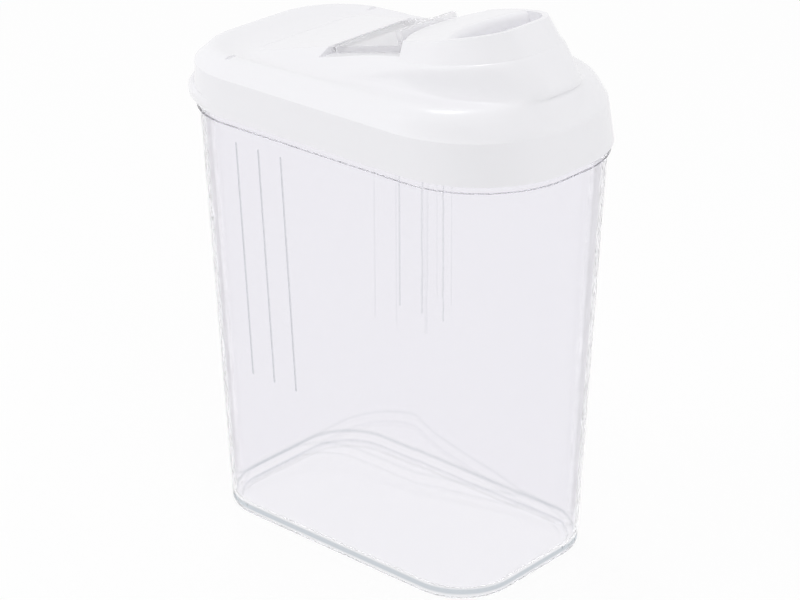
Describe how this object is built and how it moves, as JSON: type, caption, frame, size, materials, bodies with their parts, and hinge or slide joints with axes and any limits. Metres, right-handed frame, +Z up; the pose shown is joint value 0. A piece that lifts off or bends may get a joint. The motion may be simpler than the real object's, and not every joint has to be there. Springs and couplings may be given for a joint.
{
  "type": "dry food container",
  "caption": "Tall clear tapered container for dry food, with a lift-off lid that has a raised pouring spout and a hinged flap.",
  "frame": {"origin": "on the surface that the container stands on, under the middle of the whole's outline", "axes": "+Z up, +X towards the spout, Y across the short way"},
  "size_m": [0.1896, 0.107, 0.2436],
  "materials": {
    "clear_body": "clear, polished",
    "white_lid": "white, satin gloss",
    "clear_flap": "clear, polished"
  },
  "bodies": {
    "container": {"container": "clear_body"},
    "lid": {"lid": "white_lid"},
    "flap": {"flap": "clear_flap"}
  },
  "joints": [
    {"name": "lid_lift", "type": "slide", "parent": "container", "child": "lid", "axis": [0, 0, 1], "range_m": [0, 0.06]},
    {"name": "flap_hinge", "type": "hinge", "parent": "lid", "child": "flap", "pos_m": [-0.01468, 0, 0.22061], "axis": [0, -1, 0], "range_deg": [0, 100]}
  ]
}
